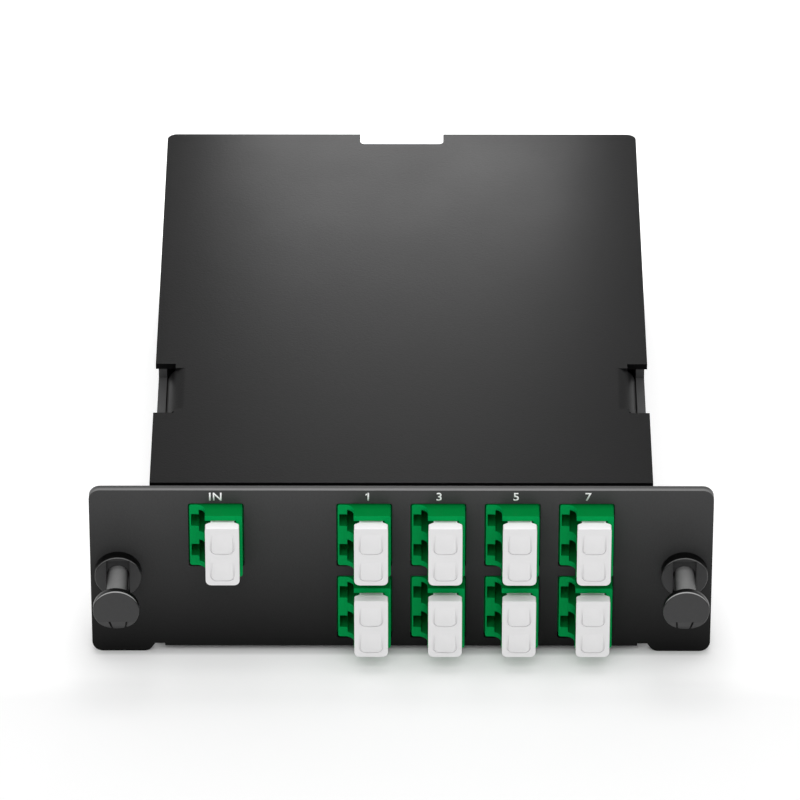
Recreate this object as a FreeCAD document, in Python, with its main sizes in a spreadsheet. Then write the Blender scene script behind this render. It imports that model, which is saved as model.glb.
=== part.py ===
import FreeCAD, Part
import math
import os
import Sketcher

# A slide-in splitter cassette for a fibre rack, in millimetres.
# Origin: centre of the front panel, on its rear face. +X right as seen from the front, +Y into the rack, +Z up.

DIMENSIONS = {
    # front panel and folded chassis
    "panel_high": 34.0,
    "panel_flange": 10.5,
    "panel_corner": 2.0,
    "chassis_sheet": 1.5,
    "bend_inside": 0.35,
    "front_fold": 0.4,
    "foot_drop": 0.93,
    "foot_from_cover": 0.45,
    "relief_inside_wall": 0.1,
    "relief_high": 1.65,
    "wall_front_gap": 0.6,
    "window_gap": 0.25,
    # cover
    "cover_wide": 88.0,
    "cover_sheet": 1.1,
    "cover_below_panel": 1.1,
    "cover_rear": 121.0,
    "cover_corner": 1.8,
    "cover_overhang": 0.5,
    "cover_front_gap": 0.2,
    "cover_bend_inside": 0.25,
    "flange_high": 8.4,
    "flange_inset": 2.8,
    "flange_gap": 0.3,
    "rear_notch_wide": 15.6,
    "rear_notch_deep": 3.5,
    "rear_notch_gap": 0.6,
    "rear_notch_corner": 0.9,
    "side_notch_front": 25.0,
    "side_notch_long": 16.0,
    "side_notch_deep": 3.6,
    "wall_notch_drop": 2.9,
    "tab_relief": 1.4,
    "tab_bend": 3.4,
    "tab_high": 9.4,
    "tab_gap": 0.1,
    # cover screws
    "screw_radius": 1.25,
    "screw_head_radius": 2.3,
    "screw_clearance": 0.15,
    "screw_head_gap": 0.05,
    "screw_long": 4.8,
    "screw_below_cover": 6.0,
    # ports: spaces around the columns and rows, adapter body
    "column_margin": 3.18,
    "row_margin_low": 0.65,
    "row_margin_high": 0.77,
    "row_space": 2.45,
    "adapter_wide": 9.28,
    "adapter_nose": 3.6,
    "adapter_long": 27.5,
    "latch_step": 2.8,
    "latch_step_round": 1.7,
    "lip_apart": 1.26,
    "lip_end": 0.45,
    "lip_thick": 1.4,
    "lip_gap": 0.05,
    "port_pitch": 6.25,
    "port_from_left": 5.85,
    "port_to_left": 4.18,
    "port_to_right": 2.35,
    "port_high": 4.45,
    "port_deep": 9.9,
    "slot_to_left": 5.55,
    "slot_high": 2.4,
    # dust cap
    "plug_side_gap": 0.3,
    "plug_end_gap": 0.075,
    "plug_long": 8.4,
    "plug_lead": 0.5,
    "cap_seat_gap": 0.05,
    "cap_neck": 0.7,
    "cap_flare": 1.75,
    "cap_block": 0.85,
    "cap_wide": 5.9,
    "cap_high": 11.83,
    "cap_corner": 0.5,
    "pad_wide": 3.9,
    "pad_high": 4.0,
    "pad_pitch": 5.6,
    "pad_corner": 0.6,
    "pad_proud": 0.35,
    # push-pull latches
    "latch_from_cover": 5.6,
    "collar_radius": 4.1,
    "collar_long": 2.0,
    "collar_slot_wide": 4.1,
    "collar_slot_high": 6.8,
    "collar_slot_deep": 0.8,
    "barrel_radius": 2.8,
    "barrel_long": 7.0,
    "barrel_slit": 0.8,
    "barrel_slit_start": 1.0,
    "shaft_radius": 1.88,
    "shaft_clearance": 0.07,
    "shaft_beyond": 7.2,
    "knob_radius": 4.05,
    "knob_thick": 1.2,
    "knob_reach": 10.4,
    "knob_bevel_from": 2.3,
    "knob_bevel_deep": 0.55,
    "knob_slot_wide": 0.4,
    "knob_slot_place": 1.35,
    "knob_slot_deep": 0.8,
    # comb that holds the adapters against the panel
    "comb_sheet": 0.5,
    "comb_gap": 0.05,
    "comb_window_gap": 0.2,
    "comb_below_cover": 0.4,
    "comb_side_gap": 1.6,
    "comb_foot": 14.0,
    "comb_bend_inside": 0.3,
    # fibre tray, splitter modules and fibres
    "tray_side_gap": 1.0,
    "tray_from_boots": 9.2,
    "tray_rear_gap": 8.1,
    "tray_base": 1.2,
    "tray_rim": 1.2,
    "tray_rim_high": 7.0,
    "tray_corner": 8.0,
    "tray_entry_margin": 5.0,
    "coil_side_gap": 3.0,
    "coil_end_gap": 9.0,
    "coil_thick": 3.7,
    "coil_high": 5.0,
    "guide_wall": 1.2,
    "guide_high": 6.5,
    "guide_gap": 0.2,
    "guide_reach": 16.0,
    "module_wide": 7.0,
    "module_high": 4.0,
    "module_edge": 0.5,
    "module_from_coil": 3.3,
    "module_boot_wide": 3.2,
    "module_boot_high": 2.4,
    "module_boot_long": 3.0,
    "clip_thick": 1.0,
    "clip_long": 8.0,
    "clip_high": 3.4,
    "clip_gap": 0.05,
    "tail_bend": 7.5,
    "tail_straight": 1.0,
    "tail_wide": 1.8,
    "tail_high": 1.6,
    "connector_side_gap": 0.15,
    "connector_end_gap": 0.075,
    "connector_inside": 8.8,
    "duplex_wide": 5.6,
    "duplex_high": 11.2,
    "duplex_long": 7.0,
    "duplex_gap": 0.4,
    "boot_root": 4.2,
    "boot_tip": 2.6,
    "boot_long": 9.0,
    "ribbon_wide": 1.8,
    "ribbon_thick": 0.9,
    "ribbon_above_tray": 2.0,
    "ribbon_row_step": 2.0,
    "ribbon_level": 3.0,
}

COLUMNS = 6
# column and row of each adapter, from the left and from the bottom; the names follow the panel's numbers
PORTS = {"in": (0, 1)}
for pair in range(4):
    PORTS[str(2 * pair + 1)] = (pair + 2, 1)
    PORTS[str(2 * pair + 2)] = (pair + 2, 0)


class Size:
    """A length from the sheet, or worked out from such lengths, with the expression that says how."""

    def __init__(self, value, text):
        self.value = value
        self.text = text

    def __add__(self, other):
        return Size(self.value + amount(other), f"({self.text} + {wording(other)})")

    def __radd__(self, other):
        return Size(other + self.value, f"({other} + {self.text})")

    def __sub__(self, other):
        return Size(self.value - amount(other), f"({self.text} - {wording(other)})")

    def __rsub__(self, other):
        return Size(other - self.value, f"({other} - {self.text})")

    def __mul__(self, factor):
        return Size(self.value * amount(factor), f"({self.text} * {wording(factor)})")

    __rmul__ = __mul__

    def __truediv__(self, factor):
        return Size(self.value / factor, f"({self.text} / {factor})")

    def __neg__(self):
        return Size(-self.value, f"(0 - {self.text})")


def amount(size):
    return size.value if isinstance(size, Size) else size


def wording(size):
    return size.text if isinstance(size, Size) else str(size)


def square_root(size):
    return Size(math.sqrt(size.value), f"sqrt({size.text})")


def fill_sheet():
    sheet = doc.addObject("Spreadsheet::Sheet", "sizes")
    for row, (name, value) in enumerate(DIMENSIONS.items(), start=1):
        sheet.set(f"A{row}", name)
        sheet.set(f"B{row}", str(value))
        sheet.setAlias(f"B{row}", name)
    doc.recompute()
    return {name: Size(float(sheet.get(name)), f"sizes.{name}") for name in DIMENSIONS}


class Sizes:
    """The sheet's lengths by name, and the places that several pieces share."""

    def __init__(self, lengths):
        self.__dict__.update(lengths)
        self.bend_outside = self.chassis_sheet + self.bend_inside
        self.panel_wide = self.cover_wide + self.panel_flange * 2
        self.latch_place = self.cover_wide / 2 + self.latch_from_cover
        self.panel_front = -self.chassis_sheet
        self.panel_top = self.panel_high / 2
        self.bottom = self.foot_drop - self.panel_high / 2
        self.floor = self.bottom + self.chassis_sheet
        self.cover_top = self.panel_top - self.cover_below_panel
        self.ceiling = self.cover_top - self.cover_sheet
        self.wall_outer = self.cover_wide / 2 - self.cover_overhang
        self.wall_inner = self.wall_outer - self.chassis_sheet
        self.bend_start = self.wall_outer - self.bend_outside
        self.rear_outer = self.cover_rear - self.cover_sheet - self.flange_gap
        self.rear_inner = self.rear_outer - self.chassis_sheet
        self.side_notch_rear = self.side_notch_front + self.side_notch_long
        self.wall_notch = self.cover_top - self.wall_notch_drop
        self.tab_outer = self.wall_inner - self.tab_gap
        self.tab_inner = self.tab_outer - self.cover_sheet
        self.tab_start = self.tab_outer - self.tab_bend
        self.tab_middle = self.side_notch_front + self.side_notch_long / 2
        self.side_screw_level = self.cover_top - self.screw_below_cover
        self.nose = self.panel_front - self.adapter_nose
        self.adapter_rear = self.nose + self.adapter_long
        self.adapter_left = -self.port_from_left
        self.adapter_right = self.adapter_wide - self.port_from_left
        self.column_pitch = (self.wall_inner - self.column_margin) * 2 / COLUMNS
        self.lip_side = (self.column_pitch - self.adapter_wide - self.lip_apart) / 2
        self.adapter_lowest = self.floor + self.row_margin_low
        self.rows_high = self.ceiling - self.row_margin_high - self.adapter_lowest
        self.adapter_high = (self.rows_high - self.row_space) / 2
        self.row_pitch = self.adapter_high + self.row_space
        self.plug_wide = (self.port_to_right - self.plug_side_gap) * 2
        self.plug_high = self.port_high - self.plug_end_gap * 2
        self.lip_rear = self.lip_gap + self.lip_thick
        self.comb_front = self.lip_rear + self.comb_gap
        self.comb_rear = self.comb_front + self.comb_sheet
        self.comb_foot_top = self.floor + self.comb_sheet
        self.collar_front = self.panel_front - self.collar_long
        self.knob_front = self.collar_front - self.knob_reach
        self.knob_rear = self.knob_front + self.knob_thick
        self.bore_radius = self.shaft_radius + self.shaft_clearance
        self.tray_top = self.floor + self.tray_base
        self.duplex_front = self.adapter_rear + self.duplex_gap
        self.duplex_rear = self.duplex_front + self.duplex_long
        self.boot_end = self.duplex_rear + self.boot_long
        self.tray_half_wide = self.wall_inner - self.tray_side_gap
        self.tray_front = self.boot_end + self.tray_from_boots
        self.tray_rear = self.rear_inner - self.tray_rear_gap
        self.tray_middle = (self.tray_front + self.tray_rear) / 2
        self.coil_outer = (self.tray_rear - self.tray_front) / 2 - self.coil_end_gap
        self.coil_inner = self.coil_outer - self.coil_thick
        self.coil_centre = self.tray_half_wide - self.coil_side_gap - self.coil_outer
        self.module_centre = self.coil_inner - self.module_from_coil - self.module_wide / 2
        self.tail_reach = self.module_boot_long + self.tail_straight + self.tail_bend
        self.module_half_long = self.coil_centre + self.coil_outer - self.coil_thick / 2 - self.tail_reach

    def column_centre(self, column):
        return self.column_pitch * (column - (COLUMNS - 1) / 2)

    def port_axis(self, column):
        return self.column_centre(column) + self.port_from_left - self.adapter_wide / 2

    def row_centre(self, row):
        return self.adapter_lowest + self.adapter_high / 2 + self.row_pitch * row


PLANES = {"XY": "XY_Plane", "XZ": "XZ_Plane", "YZ": "YZ_Plane"}


def new_body(name):
    body = doc.addObject("PartDesign::Body", name)
    body.Label = name
    return body


def place(item, x=0.0, y=0.0, z=0.0):
    for axis, distance in (("x", x), ("y", y), ("z", z)):
        item.setExpression(f"Placement.Base.{axis}", wording(distance))


def new_sketch(body, name, plane, level):
    """A sketch parallel to an origin plane, at a level along +Z, +Y or +X for the planes XY, XZ and YZ."""
    sketch = body.newObject("Sketcher::SketchObject", f"{body.Name}_{name}_sketch")
    origin_plane = [f for f in body.Origin.OriginFeatures if f.Role == PLANES[plane]][0]
    sketch.AttachmentSupport = (origin_plane, [""])
    sketch.MapMode = "FlatFace"
    # the XZ plane's normal is -Y
    offset = -1 * level if plane == "XZ" else level
    sketch.setExpression("AttachmentOffset.Base.z", wording(offset))
    return sketch


def apply_rules(sketch, rules):
    """Adds (constraint, size) pairs in one go and binds each size to the sheet."""
    first = sketch.ConstraintCount
    sketch.addConstraint([constraint for constraint, size in rules])
    for index, (constraint, size) in enumerate(rules, start=first):
        if isinstance(size, Size):
            sketch.setExpression(f"Constraints[{index}]", size.text)


def fixed_point(piece, point, x, y):
    return [(Sketcher.Constraint("DistanceX", -1, 1, piece, point, amount(x)), x),
            (Sketcher.Constraint("DistanceY", -1, 1, piece, point, amount(y)), y)]


def plain_rule(*what):
    return (Sketcher.Constraint(*what), None)


def direction(start, end):
    step = FreeCAD.Vector(amount(end[0]) - amount(start[0]), amount(end[1]) - amount(start[1]), 0)
    return step.normalize()


def draw_outline(sketch, corners):
    """A closed outline through corners (x, y); a third value rounds a square corner to that radius."""
    count = len(corners)
    starts, ends = [], []
    for i, corner in enumerate(corners):
        point = FreeCAD.Vector(amount(corner[0]), amount(corner[1]), 0)
        before = direction(corners[i - 1], corner)
        after = direction(corner, corners[(i + 1) % count])
        radius = amount(corner[2]) if len(corner) > 2 else 0.0
        ends.append(point - before * radius)
        starts.append(point + after * radius)
    first = sketch.GeometryCount
    rules = []
    for i in range(count):
        sketch.addGeometry(Part.LineSegment(starts[i], ends[(i + 1) % count]), False)
    for i, corner in enumerate(corners):
        arriving = first + (i - 1) % count
        leaving = first + i
        if len(corner) == 2:
            rules.append(plain_rule("Coincident", arriving, 2, leaving, 1))
            rules += fixed_point(leaving, 1, corner[0], corner[1])
        else:
            before = direction(corners[i - 1], corner)
            after = direction(corner, corners[(i + 1) % count])
            rules += draw_corner(sketch, corner, before, after, arriving, leaving)
    apply_rules(sketch, rules)


def draw_corner(sketch, corner, before, after, arriving, leaving):
    """The quarter arc between two lines that meet square, and the rules that hold it."""
    x, y, radius = corner
    to_centre = after - before
    centre_x = x + round(to_centre.x) * radius
    centre_y = y + round(to_centre.y) * radius
    middle = FreeCAD.Vector(amount(centre_x), amount(centre_y), 0)
    turns_left = before.cross(after).z > 0
    into, out = (1, 2) if turns_left else (2, 1)
    first_end = -after if turns_left else before
    angle = FreeCAD.Vector(1, 0, 0).getAngle(first_end)
    if first_end.y < 0:
        angle = -angle
    circle = Part.Circle(middle, FreeCAD.Vector(0, 0, 1), amount(radius))
    arc = sketch.addGeometry(Part.ArcOfCircle(circle, angle, angle + math.pi / 2), False)
    level_first = abs(before.x) > 0.5
    return fixed_point(arc, 3, centre_x, centre_y) + [
        (Sketcher.Constraint("Radius", arc, amount(radius)), radius),
        plain_rule("Vertical" if level_first else "Horizontal", arc, 3, arc, into),
        plain_rule("Horizontal" if level_first else "Vertical", arc, 3, arc, out),
        plain_rule("Coincident", arriving, 2, arc, into),
        plain_rule("Coincident", leaving, 1, arc, out),
    ]


def draw_circle(sketch, x, y, radius):
    centre = FreeCAD.Vector(amount(x), amount(y), 0)
    circle = sketch.addGeometry(Part.Circle(centre, FreeCAD.Vector(0, 0, 1), amount(radius)), False)
    size = (Sketcher.Constraint("Radius", circle, amount(radius)), radius)
    apply_rules(sketch, fixed_point(circle, 3, x, y) + [size])


def rectangle(left, right, low, high, corner=None):
    corners = [(left, low), (right, low), (right, high), (left, high)]
    return [(x, y, corner) for x, y in corners] if corner else corners


def clipped(left, right, low, high, clip):
    """A rectangle with its corners cut off at 45 degrees."""
    return [
        (left + clip, low), (right - clip, low), (right, low + clip), (right, high - clip),
        (right - clip, high), (left + clip, high), (left, high - clip), (left, low + clip),
    ]


def slab(body, name, plane, start, length, outlines=(), circles=(), cut=False):
    """Adds or cuts outlines, from a level and along +Z, +Y or +X for the planes XY, XZ and YZ."""
    sketch = new_sketch(body, name, plane, start)
    for corners in outlines:
        draw_outline(sketch, corners)
    for x, y, radius in circles:
        draw_circle(sketch, x, y, radius)
    kind = "PartDesign::Pocket" if cut else "PartDesign::Pad"
    before = body.Shape.Volume if cut else 0.0
    feature = body.newObject(kind, f"{body.Name}_{name}")
    feature.Profile = sketch
    feature.Reversed = (plane == "XZ") != cut
    feature.setExpression("Length", wording(length))
    sketch.Visibility = False
    doc.recompute()
    if cut and not body.Shape.Volume < before:
        raise RuntimeError(f"{feature.Name} cuts nothing")
    return feature


def revolve(body, name, corners):
    """A solid of revolution about the body's Y axis, from an outline of corners (radius, y)."""
    sketch = new_sketch(body, name, "XY", 0.0)
    draw_outline(sketch, corners)
    feature = body.newObject("PartDesign::Revolution", f"{body.Name}_{name}")
    feature.Profile = sketch
    feature.ReferenceAxis = (sketch, ["V_Axis"])
    feature.Angle = 360.0
    sketch.Visibility = False
    doc.recompute()
    return feature


def loft(body, name, plane, first, second):
    """A straight-sided loft between two (level, outline) pairs."""
    profiles = []
    for side, (level, corners) in zip(("from", "to"), (first, second)):
        sketch = new_sketch(body, f"{name}_{side}", plane, level)
        draw_outline(sketch, corners)
        sketch.Visibility = False
        profiles.append(sketch)
    feature = body.newObject("PartDesign::AdditiveLoft", f"{body.Name}_{name}")
    feature.Profile = profiles[0]
    feature.Sections = profiles[1:]
    feature.Ruled = True
    doc.recompute()
    return feature


def chamfer_edges(body, name, size, chosen):
    """Chamfers the edges of the body's tip that a test picks out."""
    base = body.Tip
    names = [f"Edge{i}" for i, edge in enumerate(base.Shape.Edges, start=1) if chosen(edge)]
    feature = body.newObject("PartDesign::Chamfer", f"{body.Name}_{name}")
    feature.Base = (base, names)
    feature.setExpression("Size", wording(size))
    base.Visibility = False
    doc.recompute()
    return feature


def sink_holes(body, name, plane, level, reverse, points, radius, head_radius):
    """Countersunk through holes at points of a face, bored inwards from it."""
    sketch = new_sketch(body, name, plane, level)
    for x, y in points:
        draw_circle(sketch, x, y, radius)
    sketch.Visibility = False
    doc.recompute()
    before = body.Shape.Volume
    hole = body.newObject("PartDesign::Hole", f"{body.Name}_{name}")
    hole.Profile = sketch
    doc.recompute()
    hole.ThreadType = 0
    hole.DepthType = 0
    hole.Reversed = reverse
    hole.HoleCutType = 2
    hole.HoleCutCustomValues = True
    hole.setExpression("Diameter", (radius * 2).text)
    hole.setExpression("HoleCutDiameter", (head_radius * 2).text)
    hole.HoleCutCountersinkAngle = 90.0
    hole.setExpression("Depth", (head_radius * 2).text)
    doc.recompute()
    if not body.Shape.Volume < before:
        raise RuntimeError(f"{hole.Name} cuts nothing")
    return hole


def make_chassis():
    """Front panel, floor, rear and side walls folded from one sheet, with relief notches at the panel."""
    body = new_body("chassis")
    sheet = d.chassis_sheet
    bend = d.bend_outside
    overlap_top = d.bottom + bend * 2
    slab(body, "strip", "YZ", -d.bend_start, d.bend_start * 2, [[
        (d.panel_front, overlap_top),
        (d.panel_front, d.bottom, d.front_fold),
        (d.rear_outer, d.bottom, bend),
        (d.rear_outer, d.ceiling),
        (d.rear_inner, d.ceiling),
        (d.rear_inner, d.floor, d.bend_inside),
        (0.0, d.floor, d.bend_inside),
        (0.0, overlap_top),
    ]])
    slab(body, "panel", "XZ", d.panel_front, sheet, [panel_outline()])
    slab(body, "latch_holes", "XZ", d.panel_front * 2, sheet * 3, [],
         [(side * d.latch_place, 0.0, d.barrel_radius) for side in (-1, 1)], cut=True)
    for name, (column, row) in PORTS.items():
        window = window_outline(column, row)
        slab(body, f"window_{name}", "XZ", d.panel_front * 2, sheet * 3, [window], cut=True)
    walls_start = d.bend_outside + d.panel_front + d.wall_front_gap
    walls = [wall_outline(side) for side in (-1, 1)]
    slab(body, "walls", "XZ", walls_start, d.rear_outer - walls_start, walls)
    slab(body, "wall_notch", "YZ", -d.cover_wide / 2, d.cover_wide,
         [rectangle(d.side_notch_front, d.side_notch_rear, d.wall_notch, d.panel_top)], cut=True)
    notch = d.rear_notch_wide / 2 + d.rear_notch_gap
    slab(body, "rear_notch", "XZ", d.rear_inner - sheet, sheet * 3,
         [rectangle(-notch, notch, d.cover_top - d.rear_notch_deep, d.panel_top)], cut=True)
    side_point = [(d.tab_middle, d.side_screw_level)]
    clearance = d.screw_radius + d.screw_clearance
    sink_holes(body, "left_screw", "YZ", -d.wall_outer, True, side_point, clearance, d.screw_head_radius)
    sink_holes(body, "right_screw", "YZ", d.wall_outer, False, side_point, clearance, d.screw_head_radius)
    return body


def panel_outline():
    """The panel from the front: a foot at each end, a relief notch beside it, and the fold between them."""
    half, low, top = d.panel_wide / 2, -d.panel_high / 2, d.panel_top
    relief_top = low + d.relief_high
    fold_top = d.bottom + d.bend_outside
    foot, relief = d.cover_wide / 2 + d.foot_from_cover, d.wall_outer - d.relief_inside_wall
    return [
        (-half, low, d.panel_corner), (-foot, low), (-relief, relief_top),
        (-d.bend_start, relief_top), (-d.bend_start, fold_top), (d.bend_start, fold_top),
        (d.bend_start, relief_top), (relief, relief_top), (foot, low),
        (half, low, d.panel_corner), (half, top, d.panel_corner), (-half, top, d.panel_corner),
    ]


def window_outline(column, row):
    axis, middle = d.port_axis(column), d.row_centre(row)
    gap, tall = d.window_gap, d.adapter_high / 2 + d.window_gap
    left, right = axis + d.adapter_left - gap, axis + d.adapter_right + gap
    return rectangle(left, right, middle - tall, middle + tall)


def wall_outline(side):
    """A side wall and its bend, overlapping the floor strip by one sheet thickness."""
    return [
        (side * (d.bend_start - d.chassis_sheet), d.bottom),
        (side * d.wall_outer, d.bottom, d.bend_outside),
        (side * d.wall_outer, d.ceiling),
        (side * d.wall_inner, d.ceiling),
        (side * d.wall_inner, d.floor, d.bend_inside),
        (side * (d.bend_start - d.chassis_sheet), d.floor),
    ]


def make_cover():
    """Flat plate on the walls, with a flange over the rear wall and a curved tab inside each side wall."""
    body = new_body("top_cover")
    half, sheet = d.cover_wide / 2, d.cover_sheet
    slab(body, "plate", "XY", d.ceiling, sheet, [cover_outline(half)])
    flange_half = half - d.flange_inset
    flange_bend = sheet + d.cover_bend_inside
    reach = d.cover_rear - flange_bend * 2
    slab(body, "flange", "YZ", -flange_half, flange_half * 2, [[
        (reach, d.cover_top), (reach, d.ceiling),
        (d.cover_rear - sheet, d.ceiling, d.cover_bend_inside),
        (d.cover_rear - sheet, d.cover_top - d.flange_high),
        (d.cover_rear, d.cover_top - d.flange_high),
        (d.cover_rear, d.cover_top, flange_bend),
    ]])
    notch = d.rear_notch_wide / 2
    deep, behind = d.cover_rear - d.rear_notch_deep, d.cover_rear + sheet
    slab(body, "rear_notch", "XY", d.cover_top - d.flange_high * 2, d.flange_high * 3, [[
        (-notch, behind), (-notch, deep, d.rear_notch_corner),
        (notch, deep, d.rear_notch_corner), (notch, behind),
    ]], cut=True)
    tab_front = d.side_notch_front + d.tab_relief
    tabs = [tab_outline(side) for side in (-1, 1)]
    slab(body, "tabs", "XZ", tab_front, d.side_notch_long - d.tab_relief * 2, tabs)
    hole = (d.tab_middle, d.side_screw_level, d.screw_radius)
    slab(body, "tab_holes", "YZ", -half, d.cover_wide, [], [hole], cut=True)
    return body


def cover_outline(half):
    """The plate from above, with a stepped notch on each side where the tab is bent down."""
    cut, tab = half - d.side_notch_deep, d.tab_start
    front, rear = d.side_notch_front, d.side_notch_rear
    tab_front, tab_rear = front + d.tab_relief, rear - d.tab_relief
    right = [
        (half, d.cover_front_gap), (half, front), (cut, front), (cut, tab_front), (tab, tab_front),
        (tab, tab_rear), (cut, tab_rear), (cut, rear), (half, rear), (half, d.cover_rear, d.cover_corner),
    ]
    left = [(-x, *rest) for x, *rest in reversed(right)]
    return right + left


def tab_outline(side):
    """A tab's section: flat, rounded down in a wide bend, then straight down inside the wall."""
    low = d.cover_top - d.tab_high
    return [
        (side * (d.tab_start - d.cover_sheet), d.cover_top),
        (side * d.tab_outer, d.cover_top, d.tab_bend),
        (side * d.tab_outer, low),
        (side * d.tab_inner, low),
        (side * d.tab_inner, d.ceiling, d.tab_bend - d.cover_sheet),
        (side * (d.tab_start - d.cover_sheet), d.ceiling),
    ]


def make_adapter(name, column, row):
    """Duplex adapter: a stepped nose and two ports with latch slots at each end, a lip behind the panel."""
    body = new_body(f"adapter_{name}")
    left, right, tall = d.adapter_left, d.adapter_right, d.adapter_high / 2
    step = left + d.latch_step
    rear_step = d.adapter_rear - d.adapter_nose
    slab(body, "block", "XY", -tall, d.adapter_high, [[
        (left, d.panel_front), (step, d.panel_front, d.latch_step_round), (step, d.nose), (right, d.nose),
        (right, d.adapter_rear), (step, d.adapter_rear), (step, rear_step), (left, rear_step),
    ]])
    slab(body, "lip", "XZ", d.lip_gap, d.lip_thick,
         [rectangle(left - d.lip_side, right + d.lip_side, -tall - d.lip_end, tall + d.lip_end)])
    ports = [port_outline(side * d.port_pitch / 2) for side in (-1, 1)]
    slab(body, "front_ports", "XZ", d.nose, d.port_deep, ports, cut=True)
    slab(body, "rear_ports", "XZ", d.adapter_rear - d.port_deep, d.port_deep, ports, cut=True)
    place(body, d.port_axis(column), 0.0, d.row_centre(row))
    return body


def port_outline(middle):
    """A port's opening: the wide part for the plug's body, and a slot on the left for its latch."""
    low, high = middle - d.port_high / 2, middle + d.port_high / 2
    slot_low, slot_high = middle - d.slot_high / 2, middle + d.slot_high / 2
    return [
        (-d.port_to_left, low), (d.port_to_right, low), (d.port_to_right, high), (-d.port_to_left, high),
        (-d.port_to_left, slot_high), (-d.slot_to_left, slot_high), (-d.slot_to_left, slot_low),
        (-d.port_to_left, slot_low),
    ]


def make_dust_cap(name, column, row):
    """Double dust cap: two plugs, a neck that flares to a rounded block, and two finger pads."""
    body = new_body(f"dust_cap_{name}")
    half, pitch = d.plug_wide / 2, d.port_pitch / 2
    seat = d.nose - d.cap_seat_gap
    neck_high = pitch + d.plug_high / 2
    neck_front = seat - d.cap_neck
    flare_front = neck_front - d.cap_flare
    block_front = flare_front - d.cap_block
    slab(body, "neck", "XZ", neck_front, d.cap_neck, [rectangle(-half, half, -neck_high, neck_high)])
    plugs = [rectangle(-half, half, side * pitch - d.plug_high / 2, side * pitch + d.plug_high / 2)
             for side in (-1, 1)]
    slab(body, "plugs", "XZ", seat, d.plug_long, plugs)
    chamfer_edges(body, "lead", d.plug_lead, on_level("y", seat + d.plug_long))
    wide, high = d.cap_wide / 2, d.cap_high / 2
    loft(body, "flare", "XZ", (neck_front, clipped(-half, half, -neck_high, neck_high, d.cap_corner / 2)),
         (flare_front, clipped(-wide, wide, -high, high, d.cap_corner)))
    slab(body, "block", "XZ", block_front, d.cap_block, [clipped(-wide, wide, -high, high, d.cap_corner)])
    pads = [clipped(-d.pad_wide / 2, d.pad_wide / 2, side * d.pad_pitch / 2 - d.pad_high / 2,
                    side * d.pad_pitch / 2 + d.pad_high / 2, d.pad_corner) for side in (-1, 1)]
    slab(body, "pads", "XZ", block_front - d.pad_proud, d.pad_proud, pads)
    place(body, d.port_axis(column), 0.0, d.row_centre(row))
    return body


def on_level(axis, level):
    """Picks edges that lie in one plane across an axis."""
    def chosen(edge):
        return all(abs(getattr(v.Point, axis) - amount(level)) < 0.001 for v in edge.Vertexes)
    return chosen


def make_grommet(name, side):
    """Collar in front of the panel, pressed barrel with four split legs, and a bore for the plunger."""
    body = new_body(f"latch_grommet_{name}")
    revolve(body, "turned", [
        (d.bore_radius, d.collar_front), (d.collar_radius, d.collar_front), (d.collar_radius, d.panel_front),
        (d.barrel_radius, d.panel_front), (d.barrel_radius, d.barrel_long), (d.bore_radius, d.barrel_long),
    ])
    wide, high = d.collar_slot_wide / 2, d.collar_slot_high / 2
    recess = rectangle(-wide, wide, -high, high)
    slab(body, "slot", "XZ", d.collar_front, d.collar_slot_deep, [recess], cut=True)
    slit, reach = d.barrel_slit / 2, d.collar_radius
    legs = d.barrel_long - d.barrel_slit_start
    upright, level = rectangle(-slit, slit, -reach, reach), rectangle(-reach, reach, -slit, slit)
    slab(body, "upright_slit", "XZ", d.barrel_slit_start, legs, [upright], cut=True)
    slab(body, "level_slit", "XZ", d.barrel_slit_start, legs, [level], cut=True)
    place(body, side * d.latch_place)
    return body


def make_plunger(name, side):
    """Push-pull plunger, pulled out: knob with a bevelled crescent and a thumb tab, and a plain shaft."""
    body = new_body(f"latch_plunger_{name}")
    revolve(body, "turned", [
        (0.0, d.knob_front), (d.knob_radius, d.knob_front), (d.knob_radius, d.knob_rear),
        (d.shaft_radius, d.knob_rear), (d.shaft_radius, d.shaft_beyond), (0.0, d.shaft_beyond),
    ])
    edge = d.knob_thick / 2
    slab(body, "bevel", "YZ", -d.knob_radius, d.knob_radius * 2, [[
        (d.knob_front - edge, -d.knob_bevel_from), (d.knob_front, -d.knob_bevel_from),
        (d.knob_front + d.knob_bevel_deep, -d.knob_radius - edge),
        (d.knob_front - edge, -d.knob_radius - edge),
    ]], cut=True)
    slots = [rectangle(place_x - d.knob_slot_wide / 2, place_x + d.knob_slot_wide / 2,
                       -d.knob_radius - edge, -d.knob_bevel_from)
             for place_x in (-d.knob_slot_place, d.knob_slot_place)]
    slab(body, "slots", "XZ", d.knob_front, d.knob_slot_deep, slots, cut=True)
    place(body, side * d.latch_place)
    return body


def make_screws():
    """Two countersunk screws, through the side walls into the cover's tabs."""
    return group("cover_screws", [make_screw("left_screw", -1), make_screw("right_screw", 1)])


def make_screw(name, side):
    head_centre = (side * (d.wall_outer - d.screw_head_gap), d.tab_middle, d.side_screw_level)
    pointing = FreeCAD.Vector(-side, 0, 0)
    head = turned_piece("Part::Cone", f"{name}_head", head_centre, pointing)
    head.setExpression("Radius1", (d.screw_head_radius - d.screw_head_gap * 2).text)
    head.setExpression("Radius2", d.screw_radius.text)
    head.setExpression("Height", (d.screw_head_radius - d.screw_head_gap * 2 - d.screw_radius).text)
    shank = turned_piece("Part::Cylinder", f"{name}_shank", head_centre, pointing)
    shank.setExpression("Radius", d.screw_radius.text)
    shank.setExpression("Height", d.screw_long.text)
    return fuse(name, head, shank)


def turned_piece(kind, name, centre, pointing):
    item = doc.addObject(kind, name)
    turn = FreeCAD.Rotation(FreeCAD.Vector(0, 0, 1), pointing)
    item.Placement = FreeCAD.Placement(FreeCAD.Vector(), turn)
    place(item, *centre)
    return item


def fuse(name, *items):
    joined = doc.addObject("Part::MultiFuse", name)
    joined.Shapes = list(items)
    return joined


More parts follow.
